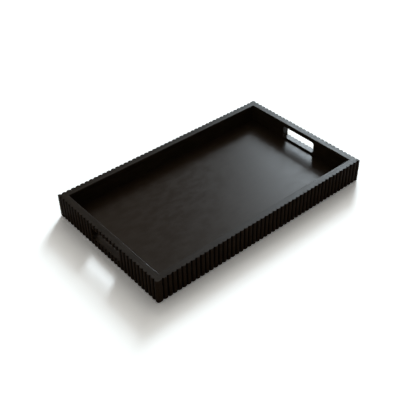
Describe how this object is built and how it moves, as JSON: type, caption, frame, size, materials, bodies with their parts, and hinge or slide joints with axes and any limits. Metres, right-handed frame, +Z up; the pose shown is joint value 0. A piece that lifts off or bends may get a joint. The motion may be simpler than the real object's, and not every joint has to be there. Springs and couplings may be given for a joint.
{
  "type": "serving tray",
  "caption": "Rectangular wooden serving tray with reeded outer walls, mitred corners, a grooved-in base panel and a handle slot in each end.",
  "frame": {"origin": "middle of the tray's length and width, on the surface that it stands on", "axes": "+X along the tray's length towards its right end, +Y across it towards its back, +Z up"},
  "size_m": [0.5, 0.3, 0.05],
  "materials": {
    "stained_rail_wood": "dark espresso stain under satin lacquer",
    "stained_panel_veneer": "dark stained veneer under satin lacquer",
    "spline_beech": "bare sanded wood",
    "pad_felt": "pressed felt"
  },
  "bodies": {
    "root": {"front_rail": "stained_rail_wood", "back_rail": "stained_rail_wood", "left_end_rail": "stained_rail_wood", "right_end_rail": "stained_rail_wood", "base_panel": "stained_panel_veneer", "spline_front_left": "spline_beech", "spline_front_right": "spline_beech", "spline_back_left": "spline_beech", "spline_back_right": "spline_beech", "pad_front_left": "pad_felt", "pad_front_right": "pad_felt", "pad_back_left": "pad_felt", "pad_back_right": "pad_felt"}
  },
  "joints": []
}
